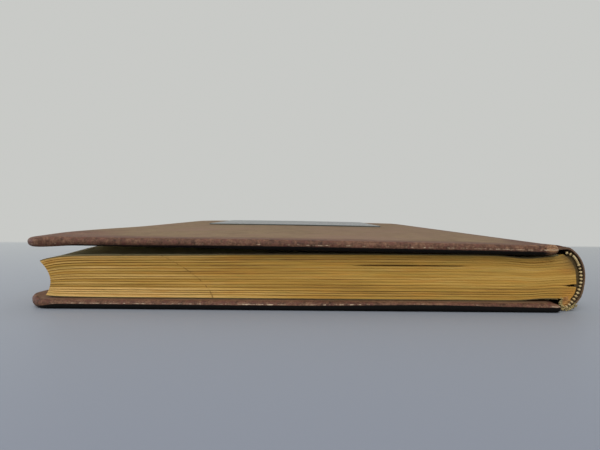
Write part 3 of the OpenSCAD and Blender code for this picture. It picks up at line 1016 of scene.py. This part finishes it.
spineTop = midZ * 2 - spineShell["drop"]
stripEnd = spineHigh.y - jointStrip["short"]
upperLine = bridgeLine((upperJoint.x - jointStrip["reachCover"], upperJoint.z + 0.04 * mm),
                       (upperJoint.x + jointStrip["reachSpine"], spineTop + 0.03 * mm), 14)
upperStrip = sweepAlong("upperJointLeather", stripSection(upperLine, jointStrip["thick"]),
                        spineLow.y + jointStrip["short"], stripEnd, 90, leather, 0.35)
lowerLine = bridgeLine((lowerJoint.x - jointStrip["lowerReachCover"], 0.02 * mm),
                       (lowerJoint.x + jointStrip["lowerReachSpine"], spineShell["drop"] - 0.03 * mm), 12)
lowerStrip = sweepAlong("lowerJointLeather", stripSection(lowerLine, jointStrip["lowerThick"]),
                        spineLow.y + jointStrip["lowerShort"], stripEnd, 90, leather, 0.3)
flyBack, flyFoot = (leafPoint(1 - flyleafSheet["backEdge"] / leafW, v) for v in (1.0, 0.0))
pasteX = upperJoint.x - (lowerJoint.x - pasteHigh.x)  # edge of the upper pastedown
upperFold = makeFold("upperEndpaperFold", (flyBack[0] - endpaperFold["under"], flyBack[1] + 0.1 * mm),
                     (pasteX - endpaperFold["over"], upperJoint.z - pasteHigh.z), endpaperFold["bow"])
lowerFold = makeFold("lowerEndpaperFold", (flyFoot[0] - endpaperFold["under"], flyFoot[1] - 0.25 * mm),
                     (pasteHigh.x - endpaperFold["over"], pasteHigh.z), 0.0)
print("joints bridged")


# panel on the upper cover, with softened edges

panelShape = {"corner": 1.2 * mm, "edgeRound": 0.3 * mm, "thick": 0.8 * mm, "gap": 0.05 * mm,
              "faceInsets": (34 * mm, 18 * mm, 6 * mm, 1.6 * mm),
              "sides": {"long": 30, "short": 50, "corner": 5}}


def makePanel(name):
    look = panelShape
    # the panel lies on the tilted cover, so its own sizes are undone from the frame's box
    thick = look["thick"]
    r = look["edgeRound"]
    xLow = (panelLow.x - upperJoint.x) / math.cos(restOpen)
    xHigh = xLow + (panelHigh.x - panelLow.x) / math.cos(restOpen)
    stations = [(inset, 0.0, 0.0) for inset in look["faceInsets"]]
    for k in range(5):
        turn = math.pi / 2 * k / 4
        stations.append((r * (1 - math.sin(turn)), r * (1 - math.cos(turn)), k / 4))
    stations += [(0.0, thick * 0.6, 1.0), (0.0, thick, 1.0), (4 * mm, thick, 1.0)]
    rings, rim = [], []
    for inset, depth, isRim in stations:
        radius = max(look["corner"] - inset, 0.1 * mm)
        outline = roundedRing(xLow + inset, xHigh - inset, -panelHigh.y + inset, -panelLow.y - inset,
                              (radius, radius), look["sides"])
        rings.append([toUpper(x, y, -look["gap"] - thick + depth - coverBow(x, -y)) for x, y in outline])
        rim += [isRim] * len(outline)
    verts, faces = loftRings(rings)
    return addPiece(name, verts, faces, panelGloss, 50, {"rim": rim})


coverPanel = makePanel("coverPanelPlate")


# headbands: thread beads over a cord, made with nodes along the back's arc

beadBand = {
    "pitch": 1.36 * mm,
    "beadLength": 0.84 * mm,
    "beadDepth": 1.14 * mm,
    "beadWidth": 1.1 * mm,
    "cordRadius": 0.30 * mm,
    "wornRadius": 0.42 * mm,
    "pathRadius": 13.85 * mm,
    "standOff": 0.45 * mm,  # how far the row stands off the ends of the leaves
    "drawIn": 1.7 * mm,  # how far the row turns in at its upper end
    "arc": (-52.0, 51.0),
    "wornArc": (23.5, 41.0),  # here the thread is rubbed smooth
    "tape": (11.39 * mm, 11.73 * mm, 8.0 * mm),
    "skirtHalf": 8.85 * mm,
    # lump of glue and thread at the foot of the near band: away from the upper joint, height, half sizes
    "lumpAt": (4.7 * mm, 3.7 * mm),
    "lumpHalf": (1.8 * mm, 1.95 * mm),
    "lumpDepth": 0.38 * mm,
    "seed": 11,
}


def beadPoint(angle, y):
    # place on the row, at an angle in degrees up from the middle of the back
    r = beadBand["pathRadius"] - beadBand["drawIn"] * ease(angle, 36, 26)
    turn = math.radians(angle)
    return (spineX + r * math.cos(turn), y, midZ + r * math.sin(turn))


def nodeTree(name, inputs):
    # a tree with a named input for each size, and a short way to add a node and take one of its outputs
    tree = bpy.data.node_groups.new(name, "GeometryNodeTree")
    tree.interface.new_socket("Geometry", in_out="INPUT", socket_type="NodeSocketGeometry")
    for label, value in inputs.items():
        kind = "NodeSocketInt" if isinstance(value, int) else "NodeSocketFloat"
        tree.interface.new_socket(label, in_out="INPUT", socket_type=kind).default_value = value
    tree.interface.new_socket("Geometry", in_out="OUTPUT", socket_type="NodeSocketGeometry")
    given = tree.nodes.new("NodeGroupInput").outputs
    result = tree.nodes.new("NodeGroupOutput").inputs[0]

    def add(kind, values=None, out=0, **settings):
        return addNode(tree, kind, values, **settings).outputs[out]

    return tree, given, result, add


def makeBeadTree():
    look = beadBand
    tree, given, result, add = nodeTree("beadTree", {
        "Pitch": look["pitch"], "Bead length": look["beadLength"], "Bead depth": look["beadDepth"],
        "Bead width": look["beadWidth"], "Cord radius": look["cordRadius"], "Worn radius": look["wornRadius"],
        "Worn from": 2.0, "Worn to": 2.0, "Seed": look["seed"]})
    path = add("GeometryNodeMeshToCurve", {"Mesh": given["Geometry"]})
    spaced = add("GeometryNodeResampleCurve", {"Curve": path, "Length": given["Pitch"]}, mode="LENGTH")
    ball = add("GeometryNodeMeshUVSphere", {"Segments": 14, "Rings": 9, "Radius": 0.5})
    size = add("ShaderNodeCombineXYZ", {
        "X": given["Bead length"], "Y": given["Bead width"], "Z": given["Bead depth"]})
    bead = add("GeometryNodeTransform", {"Geometry": ball, "Scale": size})
    tangent = add("GeometryNodeInputTangent")
    turn = add("FunctionNodeAlignRotationToVector", {"Vector": tangent}, axis="X", pivot_axis="Y")
    # beads are left out where the thread is rubbed smooth
    along = add("GeometryNodeSplineParameter", out="Factor")
    before = add("FunctionNodeCompare", {0: along, 1: given["Worn from"]}, operation="LESS_THAN")
    after = add("FunctionNodeCompare", {0: along, 1: given["Worn to"]}, operation="GREATER_THAN")
    kept = add("FunctionNodeBooleanMath", {0: before, 1: after}, operation="OR")
    vary = add("FunctionNodeRandomValue", {2: 0.86, 3: 1.06, "Seed": given["Seed"]}, 1)
    beads = add("GeometryNodeInstanceOnPoints", {
        "Points": spaced, "Selection": kept, "Instance": bead, "Rotation": turn, "Scale": vary})
    real = add("GeometryNodeRealizeInstances", {"Geometry": beads})
    parts = [add("GeometryNodeSetMaterial", {"Geometry": real, "Material": thread})]
    rubbed = add("GeometryNodeTrimCurve", {
        "Curve": path, "Start": given["Worn from"], "End": given["Worn to"]})
    # the cord takes the skirt's painted shade, and its rubbed stretch the cream thread
    for line, radius, material in ((path, "Cord radius", shadedSkirtThread), (rubbed, "Worn radius", thread)):
        ring = add("GeometryNodeCurvePrimitiveCircle", {"Resolution": 10, "Radius": given[radius]})
        cord = add("GeometryNodeCurveToMesh", {"Curve": line, "Profile Curve": ring, "Fill Caps": True})
        parts.append(add("GeometryNodeSetMaterial", {"Geometry": cord, "Material": material}))
    joined = tree.nodes.new("GeometryNodeJoinGeometry")
    for part in parts:
        tree.links.new(part, joined.inputs[0])
    tree.links.new(add("GeometryNodeSetShadeSmooth", {"Geometry": joined.outputs[0]}), result)
    return tree


def runTree(name, path, tree, values):
    # the path becomes the finished mesh, and the modifier goes with its maker
    carrier = bpy.data.meshes.new(name + "Path")
    carrier.from_pydata(path, [(k, k + 1) for k in range(len(path) - 1)], [])
    maker = addObject(name + "Maker", carrier)
    modifier = maker.modifiers.new("nodes", "NODES")
    modifier.node_group = tree
    sockets = {item.name: item.identifier for item in tree.interface.items_tree if item.in_out == "INPUT"}
    for label, value in values.items():
        modifier[sockets[label]] = value
    mesh = bpy.data.meshes.new_from_object(maker.evaluated_get(bpy.context.evaluated_depsgraph_get()))
    mesh.name = name
    bpy.data.objects.remove(maker)
    return addObject(name, mesh)


def joinRows(build, rows):
    # quads between rows of points that run round a closed line
    count = len(rows[0])
    return [build.faces.new((inner[j], outer[j], outer[(j + 1) % count], inner[(j + 1) % count]))
            for inner, outer in zip(rows, rows[1:]) for j in range(count)]


def addLump(build, slot):
    # a knobbly dome, closed behind inside the leaves
    atX, atZ = beadBand["lumpAt"]
    halfX, halfZ = beadBand["lumpHalf"]
    rounds, sides = 14, 60
    rows = []
    for k in range(1, rounds + 1):
        share = k / rounds
        row = []
        for j in range(sides):
            ca, sa = math.cos(2 * math.pi * j / sides), math.sin(2 * math.pi * j / sides)
            edge = share * (1 + 0.45 * drift(ca * 2.3, sa * 2.3, 3.0))
            x = upperJoint.x + atX + halfX * edge * ca
            z = atZ + halfZ * edge * sa
            knob = 0.65 + 0.85 * drift(x * 1900, 0.0, z * 1900)
            out = beadBand["lumpDepth"] * math.sqrt(1 - share ** 2) * knob - 0.1 * mm * share
            row.append(build.verts.new((x, -blockEnd - out, z)))
        rows.append(row)
    rows.append([build.verts.new((v.co.x, -blockEnd + 0.4 * mm, v.co.z)) for v in rows[-1]])
    faces = [build.faces.new(rows[0]), build.faces.new(rows[-1][::-1])] + joinRows(build, rows)
    for face in faces:
        face.material_index = slot
        face.smooth = True
    bmesh.ops.recalc_face_normals(build, faces=faces)


def addBandBacking(piece, side):
    # flat tape glued on the back, the skirt that ties the beads down to it, both dark with painted shade, and
    # the lump at its foot
    r0, r1, width = beadBand["tape"]
    half = beadBand["skirtHalf"]
    steps = 24
    materials = piece.data.materials
    for index, material in enumerate(materials):
        if material is None:  # the path's own empty slot
            materials[index] = thread
    for material in (shadedSkirtThread, lobeThread):
        if material.name not in materials:
            materials.append(material)
    slots = {material.name: index for index, material in enumerate(materials)}

    def backArc(radius):
        heights = [-half + 2 * half * k / steps for k in range(steps + 1)]
        return [(backX + math.sqrt(radius ** 2 - z ** 2), midZ + z) for z in heights]

    skirtTop = [(x, z) for x, y, z in (beadPoint(-40 + 80 * k / steps, 0) for k in range(steps + 1))]
    build = bmesh.new()
    build.from_mesh(piece.data)
    if side < 0:
        addLump(build, slots[lobeThread.name])
    for outer, y0, y1 in ((backArc(r1), blockEnd - width, blockEnd - 0.8 * mm),
                          (skirtTop, blockEnd - 1.4 * mm, blockEnd - 0.35 * mm)):
        section = outer + backArc(r0)[::-1]
        rows = [[build.verts.new((x, side * y, z)) for x, z in section] for y in (y0, y1)]
        faces = joinRows(build, rows)
        for row in rows:  # both ends are closed by quads across the strip
            for k in range(steps):
                mirror = len(section) - 1 - k
                faces.append(build.faces.new((row[k], row[k + 1], row[mirror - 1], row[mirror])))
        for face in faces:
            face.material_index = slots[shadedSkirtThread.name]
        bmesh.ops.recalc_face_normals(build, faces=faces)
    build.to_mesh(piece.data)
    build.free()


beadTree = makeBeadTree()
bandPieces = []
arcLow, arcHigh = beadBand["arc"]
for bandName, side in (("headBandBeads", -1), ("tailBandBeads", 1)):
    bandY = side * (blockEnd + beadBand["standOff"])
    arc = [beadPoint(arcLow + (arcHigh - arcLow) * k / 60, bandY) for k in range(61)]
    worn = [(angle - arcLow) / (arcHigh - arcLow) if side < 0 else 2.0 for angle in beadBand["wornArc"]]
    band = runTree(bandName, arc, beadTree, {"Worn from": worn[0], "Worn to": worn[1]})
    addBandBacking(band, side)
    bandPieces.append(band)
print("headbands made")


# frayed threads at the lower near end of the spine

frayedThreads = {
    "count": 105,
    "length": 0.95 * mm,
    "radius": 0.085 * mm,
    "crinkle": 0.8 * mm,
    "astray": 0.42 * mm,  # how far a loop starts from the path
    "clear": 0.1 * mm,  # least room to the table and to the end of the cover
    "seed": 23,
    # round the foot of the spine: away from the upper joint, height, in millimetres
    "path": [(2.6, 4.6), (2.3, 3.4), (2.5, 2.2), (3.2, 1.3), (4.3, 0.9), (5.9, 1.2), (7.4, 1.9), (8.1, 2.8)],
}


def makeFrayTree():
    look = frayedThreads
    tree, given, result, add = nodeTree("frayTree", {
        "Count": look["count"], "Length": look["length"], "Radius": look["radius"],
        "Crinkle": look["crinkle"], "Astray": look["astray"], "Seed": look["seed"]})
    path = add("GeometryNodeMeshToCurve", {"Mesh": given["Geometry"]})
    spaced = add("GeometryNodeResampleCurve", {"Curve": path, "Count": given["Count"]}, mode="COUNT")
    bend = add("GeometryNodeCurveQuadraticBezier", {
        "Resolution": 8, "Start": (-0.5, 0, 0), "Middle": (0.1, -0.5, 1.3), "End": (0.5, -0.1, 0)})
    loop = add("GeometryNodeTransform", {"Geometry": bend, "Scale": given["Length"]})
    ring = add("GeometryNodeCurvePrimitiveCircle", {"Resolution": 4, "Radius": given["Radius"]})
    tube = add("GeometryNodeCurveToMesh", {"Curve": loop, "Profile Curve": ring, "Fill Caps": True})
    turn = add("FunctionNodeRandomValue", {
        0: (-0.5, -3.1, -0.5), 1: (0.5, 3.1, 0.5), "Seed": given["Seed"]}, data_type="FLOAT_VECTOR")
    size = add("FunctionNodeRandomValue", {2: 0.4, 3: 1.15, "Seed": given["Seed"]}, 1)
    off = add("FunctionNodeRandomValue", {
        0: (-1, -0.4, -1), 1: (1, 0.4, 1), "Seed": look["seed"] + 1}, data_type="FLOAT_VECTOR")
    offset = add("ShaderNodeVectorMath", {0: off, "Scale": given["Astray"]}, operation="SCALE")
    strewn = add("GeometryNodeSetPosition", {"Geometry": spaced, "Offset": offset})
    placed = add("GeometryNodeInstanceOnPoints", {
        "Points": strewn, "Instance": tube, "Rotation": turn, "Scale": size})
    real = add("GeometryNodeRealizeInstances", {"Geometry": placed})
    wander = add("ShaderNodeTexNoise", {"Scale": 1000.0, "Detail": 2.0}, "Color")
    middle = add("ShaderNodeVectorMath", {0: wander, 1: (0.5, 0.5, 0.5)}, operation="SUBTRACT")
    spread = add("ShaderNodeVectorMath", {0: middle, "Scale": given["Crinkle"]}, operation="SCALE")
    moved = add("GeometryNodeSetPosition", {"Geometry": real, "Offset": spread})
    tree.links.new(add("GeometryNodeSetMaterial", {"Geometry": moved, "Material": frayThread}), result)
    return tree


frayPath = [(upperJoint.x + away * mm, -blockEnd - 0.3 * mm, height * mm)
            for away, height in frayedThreads["path"]]
frayed = runTree("frayedThreads", frayPath, makeFrayTree(), {})
for vert in frayed.data.vertices:  # nothing hangs through the table or past the end of the cover
    vert.co.z = max(vert.co.z, frayedThreads["clear"])
    vert.co.y = max(vert.co.y, coverLow.y + frayedThreads["clear"])
print("frayed threads made")


# finishes on the nodes that keep their own shape

for nodeName, material in (("lower_board", board), ("upper_board", board), ("spine_inlay", board),
                           ("lower_pastedown", paper), ("upper_pastedown", paper), ("mull", cloth)):
    kept = frame["nodes"][nodeName]
    kept.data.materials.clear()
    kept.data.materials.append(material)

# each piece moves with its body
for piece, body, nodeName, slotName in (
        (lowerSkin, "lower_cover", "lower_leather", "leather"),
        (upperSkin, "upper_cover", "upper_leather", "leather"),
        (leaves, "block", "page_block", "leaves"),
        (upperFlyleaf, "block", "upper_flyleaf", "endpaper"),
        (lowerFlyleaf, "block", "lower_flyleaf", "endpaper"),
        (spineSkin, "block", "spine_leather", "leather"),
        (coverPanel, "upper_cover", "cover_panel", "panel"),
        (bandPieces[0], "block", "head_band", "headband"),
        (bandPieces[1], "block", "tail_band", "headband"),
        (frayed, "block", None, "headband")):
    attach(piece, body)
    if nodeName:
        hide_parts(nodeName)

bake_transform(upperStrip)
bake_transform(lowerStrip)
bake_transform(upperFold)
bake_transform(lowerFold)


# table, light and camera

stage = {
    "size": 6.0,
    # the floor's colour runs from near, darker by the camera, to beside, lighter by the wall: painted falloff
    # of light and of the wall's reflection
    "near": (0.186, 0.206, 0.252),
    "nearY": -0.25,
    "beside": (0.394, 0.416, 0.428),
    "air": (0.582, 0.590, 0.570),
    "wallY": 0.157,  # from here on the floor shows the pale colour of the air
    "wallSoft": 0.02,
    "rough": 0.55,
    "skyLevel": 0.42,
    "lamps": [("softKey", 12.5, 0.9, (-0.15, -0.90, 0.95)), ("softTop", 3.0, 1.2, (0.1, 0.25, 1.3)),
              ("softSide", 4.5, 0.7, (-1.0, -0.02, 0.16))],
}


def lookedAt(tree):
    rays = addNode(tree, "ShaderNodeLightPath").outputs
    return calc(tree, "MAXIMUM", rays["Is Camera Ray"], rays["Is Glossy Ray"])


def makeTable():
    material, tree = newMaterial("paleTable")
    shader = tree.nodes["Principled BSDF"]
    # painted light: the floor darkens towards the camera and lightens towards the wall
    depth = partOf(tree, objectPlace(tree), "Y")
    along, far = (addNode(tree, "ShaderNodeMapRange", {
        "Value": depth, "From Min": low, "From Max": high}).outputs[0] for low, high in (
            (stage["nearY"], stage["wallY"]), (stage["wallY"], stage["wallY"] + stage["wallSoft"])))
    plug(tree, shader.inputs["Base Color"], ramp(tree, along, [(0.0, stage["near"]), (1.0, stage["beside"])]))
    shader.inputs["Roughness"].default_value = stage["rough"]
    # far off the floor is as pale as the air behind it
    seen = addNode(tree, "ShaderNodeEmission", {"Color": (*stage["air"], 1), "Strength": 1.0})
    mixed = addNode(tree, "ShaderNodeMixShader", {
        0: calc(tree, "MULTIPLY", far, lookedAt(tree)), 1: shader.outputs[0], 2: seen.outputs[0]})
    plug(tree, tree.nodes["Material Output"].inputs["Surface"], mixed.outputs[0])
    half = stage["size"] / 2
    mesh = bpy.data.meshes.new("table")
    corners = [(-half, -half, 0), (half, -half, 0), (half, half, 0), (-half, half, 0)]
    mesh.from_pydata(corners, [], [(0, 1, 2, 3)])
    mesh.materials.append(material)
    table = addObject("table", mesh)


def makeLight():
    world = bpy.data.worlds.new("studio")
    bpy.context.scene.world = world
    world.use_nodes = True
    tree = world.node_tree
    light = tree.nodes["Background"]
    light.inputs["Color"].default_value = (1.0, 1.0, 1.0, 1)
    light.inputs["Strength"].default_value = stage["skyLevel"]
    seen = addNode(tree, "ShaderNodeBackground", {"Color": (*stage["air"], 1), "Strength": 1.0})
    mixed = addNode(tree, "ShaderNodeMixShader", {0: lookedAt(tree), 1: light.outputs[0], 2: seen.outputs[0]})
    plug(tree, tree.nodes["World Output"].inputs["Surface"], mixed.outputs[0])
    for lampName, watts, size, place in stage["lamps"]:
        lamp = bpy.data.lights.new(lampName, "AREA")
        lamp.energy = watts
        lamp.size = size
        holder = addObject(lampName, lamp)
        holder.location = place
        holder.rotation_euler = (-Vector(place)).to_track_quat("-Z", "Y").to_euler()


photoCamera = {
    "place": (-0.776 * mm, -290.655 * mm, 37.963 * mm),
    "lens": 24.023,
    "sensor": 36,
    "yaw": 0.0029,
    "pitch": 0.0342,
    "roll": 0.0077,
}


def makeCamera():
    lens = bpy.data.cameras.new("photoCamera")
    lens.sensor_width = photoCamera["sensor"]
    lens.sensor_fit = "HORIZONTAL"
    lens.lens = photoCamera["lens"]
    lens.clip_start = 0.01
    camera = addObject("photoCamera", lens)
    tilt = Matrix.Rotation(math.pi / 2 - photoCamera["pitch"], 4, "X")
    turn = Matrix.Rotation(photoCamera["yaw"], 4, "Z") @ tilt @ Matrix.Rotation(photoCamera["roll"], 4, "Z")
    camera.matrix_world = Matrix.Translation(photoCamera["place"]) @ turn
    bpy.context.scene.camera = camera


makeTable()
makeLight()
makeCamera()
bpy.context.scene.view_settings.view_transform = "Standard"
print("stage set")
